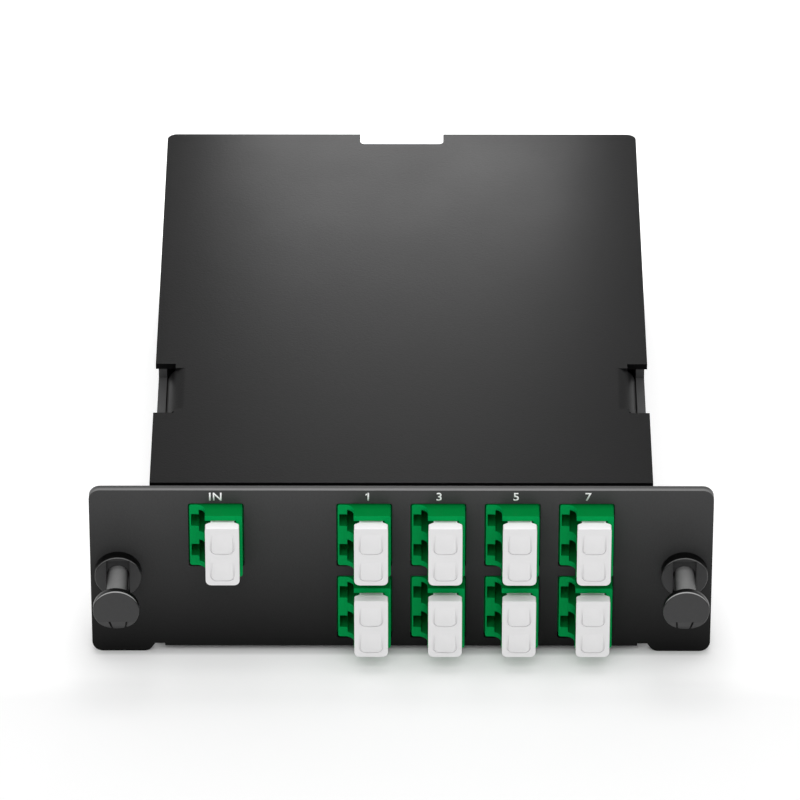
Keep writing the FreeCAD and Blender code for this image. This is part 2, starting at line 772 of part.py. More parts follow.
def group(name, items):
    """Like pieces that share a node."""
    together = doc.addObject("Part::Compound", name)
    together.Label = name
    together.Links = items
    doc.recompute()
    return together


def make_comb():
    """Spring-steel comb on the floor, whose fingers press the adapters' lips against the panel."""
    body = new_body("adapter_comb")
    half, sheet = d.wall_inner - d.comb_side_gap, d.comb_sheet
    top = d.ceiling - d.comb_below_cover
    foot_end = d.comb_rear + d.comb_foot
    slab(body, "angle", "YZ", -half, half * 2, [[
        (d.comb_front, top), (d.comb_front, d.floor, sheet + d.comb_bend_inside), (foot_end, d.floor),
        (foot_end, d.comb_foot_top), (d.comb_rear, d.comb_foot_top, d.comb_bend_inside), (d.comb_rear, top),
    ]])
    gap = d.comb_window_gap
    tall = d.adapter_high / 2 + gap
    for name, (column, row) in PORTS.items():
        axis, middle = d.port_axis(column), d.row_centre(row)
        low, high = (middle - tall, top + gap) if row else (d.comb_foot_top, middle + tall)
        slab(body, f"window_{name}", "XZ", d.comb_front - sheet, sheet * 3,
             [rectangle(axis + d.adapter_left - gap, axis + d.adapter_right + gap, low, high)], cut=True)
    return body


def make_tray():
    """Moulded tray on the floor: rim with a wide entry, curved fibre guides, clips for the two modules."""
    body = new_body("fibre_tray")
    half, rim = d.tray_half_wide, d.tray_rim
    slab(body, "base", "XY", d.floor, d.tray_base,
         [rectangle(-half, half, d.tray_front, d.tray_rear, d.tray_corner)])
    slab(body, "rim", "XY", d.tray_top, d.tray_rim_high, [
        rectangle(-half, half, d.tray_front, d.tray_rear, d.tray_corner),
        rectangle(rim - half, half - rim, d.tray_front + rim, d.tray_rear - rim, d.tray_corner - rim),
    ])
    entry = half - d.tray_entry_margin
    slab(body, "entry", "XY", d.tray_top, d.tray_rim_high,
         [rectangle(-entry, entry, d.tray_front - rim, d.tray_front + rim * 2)], cut=True)
    outer = d.coil_inner - d.guide_gap
    for name, side in (("left", -1), ("right", 1)):
        centre = side * d.coil_centre
        slab(body, f"{name}_guide", "XY", d.tray_top, d.guide_high, [],
             [(centre, d.tray_middle, outer), (centre, d.tray_middle, outer - d.guide_wall)])
        slab(body, f"{name}_guide_trim", "XY", d.tray_top, d.guide_high,
             [rectangle(*sorted_pair(centre + side * d.guide_reach, centre - side * d.coil_inner),
                        d.tray_middle - d.coil_inner, d.tray_middle + d.coil_inner)], cut=True)
    clips = []
    for side in (-1, 1):
        for inward in (-1, 1):
            near = d.tray_middle + side * d.module_centre + inward * (d.module_wide / 2 + d.clip_gap)
            across = sorted_pair(near, near + inward * d.clip_thick)
            clips.append(rectangle(-d.clip_long / 2, d.clip_long / 2, *across))
    slab(body, "clips", "XY", d.tray_top, d.clip_high, clips)
    return body


def sorted_pair(first, second):
    return (first, second) if amount(first) < amount(second) else (second, first)


def make_module(name, side):
    """A bare planar splitter: metal case with chamfered edges and a fibre boot at each end."""
    body = new_body(f"splitter_module_{name}")
    half = d.module_half_long
    middle = d.module_wide / 2
    top = d.tray_top + d.module_high
    slab(body, "case", "YZ", -half, half * 2, [rectangle(-middle, middle, d.tray_top, top)])
    chamfer_edges(body, "edges", d.module_edge, on_level("z", top))
    boot, centre = d.module_boot_wide / 2, d.tray_top + d.module_high / 2
    reach = half + d.module_boot_long
    for end, start in (("left", -reach), ("right", half)):
        slab(body, f"{end}_boot", "YZ", start, d.module_boot_long,
             [rectangle(-boot, boot, centre - d.module_boot_high / 2, centre + d.module_boot_high / 2)])
    place(body, 0.0, d.tray_middle + side * d.module_centre)
    return body


def make_coil():
    """The spare fibre, wound round the guides, with the tails from both ends of both modules."""
    body = new_body("fibre_coil")
    half, outer, inner = d.coil_centre, d.coil_outer, d.coil_inner
    middle = d.tray_middle
    for name, radius, cut in (("outside", outer, False), ("inside", inner, True)):
        slab(body, name, "XY", d.tray_top, d.coil_high,
             [rectangle(-half, half, middle - radius, middle + radius)], cut=cut)
        for end, centre in (("left", -half), ("right", half)):
            circle = (centre, middle, radius)
            slab(body, f"{name}_{end}", "XY", d.tray_top, d.coil_high, [], [circle], cut=cut)
    low = d.tray_top + (d.module_high - d.tail_high) / 2
    for name, across, along in (("a", -1, -1), ("b", 1, -1), ("c", -1, 1), ("d", 1, 1)):
        slab(body, f"tail_{name}", "XY", low, d.tail_high, [tail_outline(across, along)])
    return body


def tail_outline(across, along):
    """A fibre tail from a module's boot: straight, a quarter turn, and on into the coil."""
    start = d.module_half_long + d.module_boot_long
    half, straight, bend = d.tail_wide / 2, d.tail_straight, d.tail_bend
    turn = start + straight + bend
    from_middle = d.module_centre
    end = from_middle - bend - straight
    corners = [
        (start, from_middle + half), (turn + half, from_middle + half, bend + half), (turn + half, end),
        (turn - half, end), (turn - half, from_middle - half, bend - half), (start, from_middle - half),
    ]
    return [(across * x, d.tray_middle + along * y, *rest) for x, y, *rest in corners]


def make_connector(name, column, row):
    """Duplex connector in an adapter's rear ports: two plugs, the block that joins them, a tapered boot."""
    body = new_body(f"pigtail_connector_{name}")
    half, pitch = d.port_to_right - d.connector_side_gap, d.port_pitch / 2
    tall = d.port_high / 2 - d.connector_end_gap
    start = d.adapter_rear - d.connector_inside
    plugs = [rectangle(-half, half, side * pitch - tall, side * pitch + tall) for side in (-1, 1)]
    block_half, block_tall = d.duplex_wide / 2, d.duplex_high / 2
    slab(body, "block", "XZ", d.duplex_front, d.duplex_long,
         [rectangle(-block_half, block_half, -block_tall, block_tall)])
    slab(body, "plugs", "XZ", start, d.duplex_front - start, plugs)
    root_half, tip_half = d.boot_root / 2, d.boot_tip / 2
    slab(body, "boot", "YZ", -tip_half, d.boot_tip, [[
        (d.duplex_rear, -root_half), (d.boot_end, -tip_half),
        (d.boot_end, tip_half), (d.duplex_rear, root_half),
    ]])
    place(body, d.port_axis(column), 0.0, d.row_centre(row))
    return body


def make_ribbons():
    """Flat fibre pairs that come down from the connectors' boots to the coil."""
    return group("fibre_ribbons", [make_ribbon(name, column, row) for name, (column, row) in PORTS.items()])


def make_ribbon(name, column, row):
    """Level out of the boot, down a slope, and level into the coil's outside, where that curves away too."""
    body = new_body(f"ribbon_{name}")
    half, thick = d.ribbon_wide / 2, d.ribbon_thick / 2
    axis = d.port_axis(column)
    high, low = d.row_centre(row), d.tray_top + d.ribbon_above_tray + d.ribbon_row_step * row
    along_coil = (axis if axis.value > 0 else -axis) - half - d.coil_centre
    reach = d.coil_outer
    if along_coil.value > 0:
        reach = square_root(reach * reach - along_coil * along_coil)
    end = d.tray_middle - reach
    down, up = d.boot_end + d.ribbon_level, end - d.ribbon_level
    slab(body, "band", "YZ", axis - half, d.ribbon_wide, [[
        (d.boot_end, high - thick), (down, high - thick), (up, low - thick), (end, low - thick),
        (end, low + thick), (up, low + thick), (down, high + thick), (d.boot_end, high + thick),
    ]])
    return body


def build_all():
    nodes = [make_chassis(), make_cover(), make_screws(), make_comb()]
    for name, (column, row) in PORTS.items():
        nodes.append(make_adapter(name, column, row))
        nodes.append(make_dust_cap(name, column, row))
        nodes.append(make_connector(name, column, row))
    for name, side in (("left", -1), ("right", 1)):
        nodes.append(make_grommet(name, side))
        nodes.append(make_plunger(name, side))
    nodes.append(make_tray())
    nodes.append(make_module("a", -1))
    nodes.append(make_module("b", 1))
    nodes.append(make_coil())
    nodes.append(make_ribbons())
    doc.recompute()
    return nodes


def check(nodes):
    for item in doc.Objects:
        if "Invalid" in item.State or "Error" in item.State:
            raise RuntimeError(f"{item.Name} failed: {item.State}")
    for node in nodes:
        if node.Shape.isNull() or not node.Shape.isValid():
            raise RuntimeError(f"{node.Label} has no valid shape")


doc = FreeCAD.newDocument("splitter_cassette")
d = Sizes(fill_sheet())
sub_parts = build_all()
check(sub_parts)
os.makedirs("parts", exist_ok=True)
for sub_part in sub_parts:
    sub_part.Shape.exportStep(f"parts/{sub_part.Label}.step")
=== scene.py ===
import math

import bmesh
import bpy
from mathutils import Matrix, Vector


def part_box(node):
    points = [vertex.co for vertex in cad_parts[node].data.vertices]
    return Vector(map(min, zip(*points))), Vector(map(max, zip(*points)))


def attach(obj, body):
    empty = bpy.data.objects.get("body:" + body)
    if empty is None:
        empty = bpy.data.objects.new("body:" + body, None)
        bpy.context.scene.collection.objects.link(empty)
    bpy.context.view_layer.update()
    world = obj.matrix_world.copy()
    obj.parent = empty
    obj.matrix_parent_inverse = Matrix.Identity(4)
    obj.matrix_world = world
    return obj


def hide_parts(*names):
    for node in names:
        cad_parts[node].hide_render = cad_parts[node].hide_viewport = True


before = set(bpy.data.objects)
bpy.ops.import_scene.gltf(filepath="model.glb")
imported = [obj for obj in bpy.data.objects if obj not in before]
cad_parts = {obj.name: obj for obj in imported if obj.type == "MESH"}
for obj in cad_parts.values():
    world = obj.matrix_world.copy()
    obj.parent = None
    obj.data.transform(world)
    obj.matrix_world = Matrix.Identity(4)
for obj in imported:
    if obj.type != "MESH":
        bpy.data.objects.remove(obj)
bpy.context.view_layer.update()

# The slide-in splitter cassette, dressed. The frame gives places in metres; the small sizes below are millimetres.
MM = 0.001
SAME = 0.01  # places nearer than this are one place
NEAR = 0.05  # places nearer than this are one corner of a CAD mesh
PAST = 1.0  # how far a cutting tool reaches past what it cuts
INTO = 0.5  # how far a form that is welded on reaches into the other one
MERGE_WITHIN, FLAT_WITHIN = 0.002, 1.0  # a CAD mesh's doubles, and degrees between faces of one flat area
SHARP_ANGLE = 30.0  # degrees: sharper edges are softened
SMOOTH_MARGIN = 8.0  # degrees that smooth shading goes beyond a softened edge's angle
SQUARE_ON = 0.9  # a face looks along an axis where its normal has more than this share along it

PORTS = ["in"] + [str(number) for number in range(1, 9)]

# front panel
PANEL_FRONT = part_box("chassis")[0].y / MM
FLOOR_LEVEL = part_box("chassis")[0].z / MM

# sheet parts: the windows' corners, the panel's foot beside the side walls, and the step in the cover
WINDOW_GAP, WINDOW_CORNER = 0.25, 0.45
FOOT_END, FOOT_CORNER = 44.45, 0.9
THROUGH_SHEET = 1.2  # edges straight through the sheet are longer than this
COVER_STEP_HALF_WIDE, COVER_STEP_DEEP, COVER_STEP_END = 60.0, 0.65, 2.6
CHASSIS_SOFT, COVER_SOFT, SHEET_ANGLE = 0.14, 0.2, 35.0

# adapter, seen from the front: its left part is flush with the panel and its right part stands out as a nose
ADAPTER_LEFT, ADAPTER_RIGHT = -5.85, 3.43
ADAPTER_HALF_HIGH, ADAPTER_CORNER, ADAPTER_SOFT = 6.375, 0.4, 0.14
ADAPTER_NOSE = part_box("adapter_in")[0].y / MM
ADAPTER_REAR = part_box("adapter_in")[1].y / MM
NOSE_STEP = 2.8
NOSE_FILLET = 1.7
LIP_FRONT, LIP_REAR = 0.05, 1.45
LIP_SIDE, LIP_END = 1.2, 0.45
PORT_MIDDLE = 3.125
PORT_LEFT, PORT_RIGHT, PORT_HALF_HIGH = -4.18, 2.35, 2.225
SLOT_LEFT, SLOT_HALF_HIGH = -5.55, 1.2
PORT_DEEP = 9.9

# dust cap
CAP_SEAT = ADAPTER_NOSE - 0.05
NECK_LONG, FLARE_LONG, BLOCK_LONG = 0.15, 1.5, 1.65
PLUG_HALF_WIDE, PLUG_HALF_HIGH, PLUG_LONG = 2.05, 2.15, 8.4
PLUG_PLAY, PLUG_ROOT, PLUG_TIP = 0.02, 0.2, 0.45
NECK_HALF_HIGH = PORT_MIDDLE + PLUG_HALF_HIGH
CAP_HALF_WIDE, CAP_HALF_HIGH = 2.95, 5.915
CAP_CORNER, CAP_TOP_CORNER, CAP_SOFT = 0.95, 0.35, 0.26
PAD_HALF_WIDE, PAD_HALF_HIGH, PAD_MIDDLE = 1.84, 1.95, 2.8
PAD_PROUD, PAD_CORNER, PAD_EDGE, PAD_ROOT = 0.33, 0.8, 0.12, 0.1
GROOVE_WIDE, GROOVE_DEEP = 0.28, 0.22

# push-pull latches
LATCH_ACROSS, LATCH_SOFT = 49.6, 0.1
COLLAR_RADIUS, COLLAR_FRONT = 4.1, -3.5
RECESS_HALF_WIDE, RECESS_HALF_HIGH, RECESS_DEEP = 2.05, 3.4, 0.8
BARREL_RADIUS, BARREL_END, BORE_RADIUS = 2.8, 7.0, 1.95
SLIT_WIDE, SLIT_START = 0.8, 1.0
SHAFT_RADIUS, SHAFT_ROOT, SHAFT_END = 1.88, 0.4, 7.2
KNOB_RADIUS, KNOB_FRONT, KNOB_REAR = 4.05, -13.9, -12.7
CRESCENT_FROM, CRESCENT_DEEP, CRESCENT_STEP = 2.3, 0.55, 0.02
SLOT_WIDE, SLOT_DEEP, SLOT_TOP = 0.36, 0.8, 0.06
RIM_ROUND = 0.28
# the knobs' slots on the left and right latch: where each starts at its top and ends at its foot, from the middle
KNOB_SLOTS = {-1: ((-1.2, -0.58), (1.8, 1.44)), 1: ((-1.65, -1.44), (1.2, 0.58))}

# panel numbers: text, its centre across, and the level they share
PANEL_TEXTS = {"IN": -32.4, "1": -5.76, "3": 6.58, "5": 20.0, "7": 32.6}
TEXT_LEVEL, TEXT_HIGH, CAPITAL_SHARE, LETTER_SPACING = 15.70, 1.62, 0.70, 1.08
INK_THICK, INK_SPREAD, INK_MERGE = 0.02, 0.03, 0.025
FLAG_WIDE, FLAG_TAIL, FLAG_HIGH, FLAG_DROP = 0.36, 0.1, 0.30, 0.26

# camera: its place in metres, its turn from looking straight down in degrees, and its lens in millimetres
CAMERA_PLACE = (0.0002, -1.05906, 0.72219)
CAMERA_TURN = (90 - 32.985, -0.037, 0.048)
CAMERA_SENSOR, CAMERA_LENS, CAMERA_NEAR = 36.0, 328.58, 0.05

# lamps: name, place and target in metres, width and height in metres, and watts
SOFT_LAMPS = (
    ("overhead_softbox", (0.0, 0.15, 1.0), (0.0, 0.03, 0.0), 0.8, 0.6, 3.8),
    ("front_softbox", (0.0, -0.9, 0.9), (0.0, 0.0, 0.0), 1.2, 0.9, 6.1),
    ("rear_lamp", (0.0, 0.178, 0.052), (0.0, 0.10, 0.016), 0.068, 0.03, 0.063),
    ("rim_lamp", (0.0, -0.56, 0.83), (0.0, 0.0, 0.0), 0.5, 0.03, 0.5),
)

# light: the room's level on surfaces, and the floor's added white where it is seen directly
ROOM_LEVEL = 0.56
FLOOR_SIZE, FLOOR_GREY, FLOOR_ROUGHNESS = 6.0, 0.82, 0.9  # the size in metres
# the floor's added white from front to back, rising behind the panel where it paints light over the object's
# shadow, and what is left of it in the foreground, where the lower level paints a soft shadow: two places and two
# levels
LIFT_AND_PAINTED_LIGHT_STEP = (-10.0, 40.0, 0.18, 0.45)
FOREGROUND_PAINTED_SHADOW_STEP = (-17.5, -8.0, 0.42, 1.0)
# the floor's painted shadow below the panel's edge, where its added white is taken away: an axis, and the places
# where the shadow is nothing and whole
PAINTED_SHADOW_STEPS = (("Y", -3.4, -1.7), ("Y", 12.0, 4.0), ("X", -56.0, -52.0), ("X", 56.0, 52.0))


# shop tools
def deselect_all():
    bpy.ops.object.select_all(action="DESELECT")


def pick(piece):
    """Makes a piece the only selected and active object."""
    deselect_all()
    piece.select_set(True)
    bpy.context.view_layer.objects.active = piece


def edit(piece):
    """Enters edit mode with nothing selected."""
    pick(piece)
    bpy.ops.object.mode_set(mode="EDIT")
    bpy.ops.mesh.select_mode(type="VERT")
    bpy.ops.mesh.select_all(action="DESELECT")


def leave_edit():
    bpy.ops.object.mode_set(mode="OBJECT")


def millimetres(vector):
    return Vector(vector) / MM


def select_faces(piece, wanted):
    """Selects the faces whose centre and normal pass a test, in millimetres."""
    bpy.ops.mesh.select_mode(type="FACE")
    mesh = bmesh.from_edit_mesh(piece.data)
    for face in mesh.faces:
        face.select_set(wanted(millimetres(face.calc_center_median()), face.normal))
    bmesh.update_edit_mesh(piece.data)


def select_edges(piece, wanted):
    """Selects the edges whose two ends pass a test, in millimetres."""
    bpy.ops.mesh.select_mode(type="EDGE")
    mesh = bmesh.from_edit_mesh(piece.data)
    for edge in mesh.edges:
        edge.select_set(wanted(*(millimetres(vert.co) for vert in edge.verts)))
    bmesh.update_edit_mesh(piece.data)


def along_depth(a, b, least=SAME):
    """Whether an edge goes straight along Y and is longer than a least length."""
    return abs(a.x - b.x) + abs(a.z - b.z) <= SAME and abs(a.y - b.y) > least


def block(name, low, high):
    """A box between two corners in millimetres, its place in its mesh."""
    deselect_all()
    low, high = Vector(low), Vector(high)
    bpy.ops.mesh.primitive_cube_add(size=1, location=(low + high) / 2 * MM)
    piece = bpy.context.active_object
    piece.name = name
    piece.scale = (high - low) * MM
    bpy.ops.object.transform_apply(location=True, rotation=True, scale=True)
    return piece


def drum(name, x, radius, front, rear, sides=64):
    """A round bar along Y between two depths in millimetres."""
    deselect_all()
    bpy.ops.mesh.primitive_cylinder_add(
        vertices=sides, radius=radius * MM, depth=(rear - front) * MM,
        location=Vector((x, (front + rear) / 2, 0)) * MM, rotation=(math.pi / 2, 0, 0))
    piece = bpy.context.active_object
    piece.name = name
    bpy.ops.object.transform_apply(location=True, rotation=True, scale=True)
    return piece


def push(x=0.0, y=0.0, z=0.0):
    """Extrudes the selected faces by a step in millimetres."""
    bpy.ops.mesh.extrude_region_move(TRANSFORM_OT_translate={"value": Vector((x, y, z)) * MM})


def slide(x=0.0, y=0.0, z=0.0):
    """Moves what is selected by a step in millimetres."""
    bpy.ops.transform.translate(value=(x * MM, y * MM, z * MM))


def spread(x=1.0, y=1.0, z=1.0):
    bpy.ops.transform.resize(value=(x, y, z))


def bevel(width, segments):
    """Rounds the selected edges by a width in millimetres."""
    bpy.ops.mesh.bevel(offset=width * MM, segments=segments)


def join(name, *items):
    pick(items[0])
    for item in items[1:]:
        item.select_set(True)
    bpy.ops.object.join()
    items[0].name = name
    return items[0]


def carve(piece, tool, operation="DIFFERENCE"):
    """Cuts a tool's shape out of a piece, or welds it on, and throws the tool away."""
    pick(piece)
    cut = piece.modifiers.new("carve", "BOOLEAN")
    cut.operation = operation
    cut.solver = "EXACT"
    cut.object = tool
    bpy.ops.object.modifier_apply(modifier=cut.name)
    bpy.data.objects.remove(tool, do_unlink=True)


def soften(piece, width, segments=2, angle=SHARP_ANGLE):
    """Rounds every sharp edge by a small width in millimetres and shades the rest smooth."""
    pick(piece)
    rounding = piece.modifiers.new("soften", "BEVEL")
    rounding.width = width * MM
    rounding.segments = segments
    rounding.limit_method = "ANGLE"
    rounding.angle_limit = math.radians(angle)
    rounding.harden_normals = False
    bpy.ops.object.modifier_apply(modifier=rounding.name)
    bpy.ops.object.shade_smooth_by_angle(angle=math.radians(angle + SMOOTH_MARGIN))
    flatten = piece.modifiers.new("flatten", "WEIGHTED_NORMAL")
    flatten.keep_sharp = True
    bpy.ops.object.modifier_apply(modifier=flatten.name)


def moved_copy(piece, name, x, y, z):
    """A copy with its own mesh, shifted by a step in millimetres."""
    pick(piece)
    bpy.ops.object.duplicate()
    copy = bpy.context.active_object
    copy.name = name
    bpy.ops.transform.translate(value=Vector((x, y, z)) * MM)
    bpy.ops.object.transform_apply(location=True, rotation=True, scale=True)
    return copy


def stand_for(piece, node, body, material):
    """Puts a finished piece in the place of a CAD node."""
    piece.data.materials.clear()
    piece.data.materials.append(material)
    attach(piece, body)
    if node:
        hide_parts(node)


def node_copy(node, name):
    """A merged copy of a CAD node's mesh, with its flat areas back in one face each."""
    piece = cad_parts[node].copy()
    piece.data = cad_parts[node].data.copy()
    piece.parent = None
    piece.name = name
    bpy.context.scene.collection.objects.link(piece)
    edit(piece)
    bpy.ops.mesh.select_all(action="SELECT")
    bpy.ops.mesh.remove_doubles(threshold=MERGE_WITHIN * MM)
    bpy.ops.mesh.dissolve_limited(angle_limit=math.radians(FLAT_WITHIN))
    leave_edit()
    return piece


def port_middle(port):
    """The middle of a port pair across and in height, as its cap's box gives it, in millimetres."""
    low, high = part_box("dust_cap_" + port)
    return (low.x + high.x) / 2 / MM, (low.z + high.z) / 2 / MM


# node helpers, for the finishes, the floor and the world
def reckon(nodes, links, operation, *values):
    """The output of a maths node that works on outputs of other nodes and on plain numbers."""
    step = nodes.new("ShaderNodeMath")
    step.operation = operation
    for socket, value in zip(step.inputs, values):
        if isinstance(value, float):
            socket.default_value = value
        else:
            links.new(value, socket)
    return step.outputs[0]


def soft_step(nodes, links, value, start, end, low, high):
    """A smooth step from one level to another as a coordinate goes between two places in millimetres."""
    step = nodes.new("ShaderNodeMapRange")
    step.interpolation_type = "SMOOTHSTEP"
    step.inputs["From Min"].default_value = start * MM
    step.inputs["From Max"].default_value = end * MM
    step.inputs["To Min"].default_value = low
    step.inputs["To Max"].default_value = high
    links.new(value, step.inputs["Value"])
    return step.outputs["Result"]


def seen_directly(nodes, links):
    """An output that is 1 for rays from the camera, from a reflection and through clear material, else 0."""
    path = nodes.new("ShaderNodeLightPath")
    seen = path.outputs["Is Camera Ray"]
    for other in ("Is Glossy Ray", "Is Transmission Ray"):
        seen = reckon(nodes, links, "MAXIMUM", seen, path.outputs[other])
    return seen


def group_value(group, name, kind, default=None, is_output=False):
    """Adds a named input or output to a node group."""
    socket = group.interface.new_socket(name, in_out="OUTPUT" if is_output else "INPUT", socket_type=kind)
    if default is not None:
        socket.default_value = default


def build_grain_group():
    """Moulded or coated surface: a fine grain for bump and roughness, and slow cloudy variation of colour."""
    group = bpy.data.node_groups.new("surface_grain", "ShaderNodeTree")
    group_value(group, "Colour", "NodeSocketColor", (0.5, 0.5, 0.5, 1.0))
    group_value(group, "Roughness", "NodeSocketFloat", 0.5)
    group_value(group, "Grain size", "NodeSocketFloat", 2000.0)
    group_value(group, "Roughness change", "NodeSocketFloat", 0.1)
    group_value(group, "Colour change", "NodeSocketFloat", 0.1)
    group_value(group, "Colour", "NodeSocketColor", is_output=True)
    group_value(group, "Roughness", "NodeSocketFloat", is_output=True)
    group_value(group, "Height", "NodeSocketFloat", is_output=True)
    nodes, links = group.nodes, group.links
    given = nodes.new("NodeGroupInput")
    out = nodes.new("NodeGroupOutput")
    place = nodes.new("ShaderNodeTexCoord")

    fine = nodes.new("ShaderNodeTexNoise")
    fine.inputs["Detail"].default_value = 4.0
    fine.inputs["Roughness"].default_value = 0.6
    links.new(place.outputs["Object"], fine.inputs["Vector"])
    links.new(given.outputs["Grain size"], fine.inputs["Scale"])

    cloudy = nodes.new("ShaderNodeTexNoise")
    cloudy.inputs["Scale"].default_value = 60.0
    cloudy.inputs["Detail"].default_value = 3.0
    links.new(place.outputs["Object"], cloudy.inputs["Vector"])

    # both noises together vary about 1, so less 1 they vary about nothing
    both = reckon(nodes, links, "ADD", fine.outputs["Fac"], cloudy.outputs["Fac"])
    centred = reckon(nodes, links, "SUBTRACT", both, 1.0)
    roughness = reckon(nodes, links, "MULTIPLY_ADD", centred, given.outputs["Roughness change"],
                       given.outputs["Roughness"])
    brightness = reckon(nodes, links, "MULTIPLY_ADD", centred, given.outputs["Colour change"], 1.0)
    tint = nodes.new("ShaderNodeVectorMath")
    tint.operation = "SCALE"
    links.new(given.outputs["Colour"], tint.inputs[0])
    links.new(brightness, tint.inputs["Scale"])

    links.new(tint.outputs["Vector"], out.inputs["Colour"])
    links.new(roughness, out.inputs["Roughness"])
    links.new(fine.outputs["Fac"], out.inputs["Height"])
    return group


def build_mask_group(name, source):
    """A mask that goes from 0 to 1 between two values of the piece's own place or normal along an axis. Its share
    is another mask's output where both have to be whole."""
    group = bpy.data.node_groups.new(name, "ShaderNodeTree")
    group_value(group, "Share", "NodeSocketFloat", 1.0)
    group_value(group, "Axis", "NodeSocketVector", (0.0, 0.0, 1.0))
    group_value(group, "None", "NodeSocketFloat", 0.0)
    group_value(group, "Full", "NodeSocketFloat", 1.0)
    group_value(group, "Mask", "NodeSocketFloat", is_output=True)
    nodes, links = group.nodes, group.links
    given = nodes.new("NodeGroupInput")
    out = nodes.new("NodeGroupOutput")
    coordinates = nodes.new("ShaderNodeTexCoord")
    along = nodes.new("ShaderNodeVectorMath")
    along.operation = "DOT_PRODUCT"
    links.new(coordinates.outputs[source], along.inputs[0])
    links.new(given.outputs["Axis"], along.inputs[1])
    ramp = nodes.new("ShaderNodeMapRange")
    links.new(along.outputs["Value"], ramp.inputs["Value"])
    links.new(given.outputs["None"], ramp.inputs["From Min"])
    links.new(given.outputs["Full"], ramp.inputs["From Max"])
    mask = reckon(nodes, links, "MULTIPLY", given.outputs["Share"], ramp.outputs["Result"])
    links.new(mask, out.inputs["Mask"])
    return group


# finishes
def grey(level):
    return level, level, level


def finish(name, colour, roughness, grain, bump, roughness_change, colour_change, metallic=0.0, specular=0.5):
    """A procedural material on the grain group. The bump's distance is in millimetres."""
    material = bpy.data.materials.new(name)
    material.use_nodes = True
    nodes, links = material.node_tree.nodes, material.node_tree.links
    shader = nodes["Principled BSDF"]
    surface = nodes.new("ShaderNodeGroup")
    surface.name = "Surface"
    surface.node_tree = grain_group
    surface.inputs["Colour"].default_value = (*colour, 1.0)
    surface.inputs["Roughness"].default_value = roughness
    surface.inputs["Grain size"].default_value = grain
    surface.inputs["Roughness change"].default_value = roughness_change
    surface.inputs["Colour change"].default_value = colour_change
    relief = nodes.new("ShaderNodeBump")
    relief.inputs["Strength"].default_value = 1.0
    relief.inputs["Distance"].default_value = bump * MM
    links.new(surface.outputs["Colour"], shader.inputs["Base Color"])
    links.new(surface.outputs["Roughness"], shader.inputs["Roughness"])
    links.new(surface.outputs["Height"], relief.inputs["Height"])
    links.new(relief.outputs["Normal"], shader.inputs["Normal"])
    shader.inputs["Metallic"].default_value = metallic
    shader.inputs["Specular IOR Level"].default_value = specular
    return material


def at(axis, none, full):
    """A mask by place on the piece: nothing at one place along an axis and whole at another, in millimetres."""
    return place_mask, axis, none * MM, full * MM


def facing(axis, none, full):
    """A mask by where a surface faces: nothing at one share of its normal along an axis and whole at another."""
    return facing_mask, axis, none, full


def blend_colour(material, other, *masks):
    """Blends a finish's colour into another one where all the masks are whole."""
    nodes, links = material.node_tree.nodes, material.node_tree.links
    share = None
    for group, axis, none, full in masks:
        mask = nodes.new("ShaderNodeGroup")
        mask.node_tree = group
        mask.inputs["Axis"].default_value = [float(axis == letter) for letter in "XYZ"]
        mask.inputs["None"].default_value = none
        mask.inputs["Full"].default_value = full
        if share is not None:
            links.new(share, mask.inputs["Share"])
        share = mask.outputs["Mask"]
    goal = nodes["Surface"].inputs["Colour"]
    mix = nodes.new("ShaderNodeMix")
    mix.data_type = "RGBA"
    # the sockets that a colour mix uses, which share their names with those of other kinds
    fraction, first, second, result = mix.inputs[0], mix.inputs[6], mix.inputs[7], mix.outputs[2]
    links.new(share, fraction)
    if goal.is_linked:
        links.new(goal.links[0].from_socket, first)
    else:
        first.default_value = goal.default_value
    second.default_value = (*other, 1.0)
    links.new(result, goal)


grain_group = build_grain_group()
place_mask = build_mask_group("place_mask", "Object")
facing_mask = build_mask_group("facing_mask", "Normal")

cover_coat = finish("cover_coat", (0.0028, 0.0028, 0.0029), roughness=0.39, grain=2600.0, bump=0.02,
                    roughness_change=0.10, colour_change=0.25, specular=0.07)

# the panel's coat, on the whole chassis: painted shade that darkens it from a lighter top towards its foot, a
# painted highlight on its top edge, and a brighter painted highlight on that edge's rounded front
panel_coat = finish("panel_coat", (0.052, 0.052, 0.0525), roughness=0.42, grain=2600.0, bump=0.02,
                    roughness_change=0.10, colour_change=0.25, specular=0.12)
blend_colour(panel_coat, grey(0.0015), at("Z", 17.0, -15.5))
blend_colour(panel_coat, grey(0.06), at("Z", 14.3, 14.6), facing("Z", 0.1, 0.6))
blend_colour(panel_coat, grey(0.165), at("Z", 14.3, 14.6), facing("Z", 0.5, 0.9), at("Y", -0.6, -1.0))

# the adapters: painted shade, darker where they face up
adapter_green = finish("adapter_green", (0.0002, 0.30, 0.07), roughness=0.36, grain=900.0, bump=0.006,
                       roughness_change=0.08, colour_change=0.12, specular=0.02)
blend_colour(adapter_green, (0.0002, 0.19, 0.036), facing("Z", 0.3, 0.9))
connector_green = finish("connector_green", (0.006, 0.26, 0.07), roughness=0.40, grain=900.0, bump=0.006,
                         roughness_change=0.08, colour_change=0.12)

# the caps: painted light, lighter where they face up
cap_white = finish("cap_white", (0.75, 0.745, 0.75), roughness=0.42, grain=700.0, bump=0.006,
                   roughness_change=0.06, colour_change=0.03)
blend_colour(cap_white, (0.86, 0.855, 0.86), facing("Z", 0.5, 0.95))
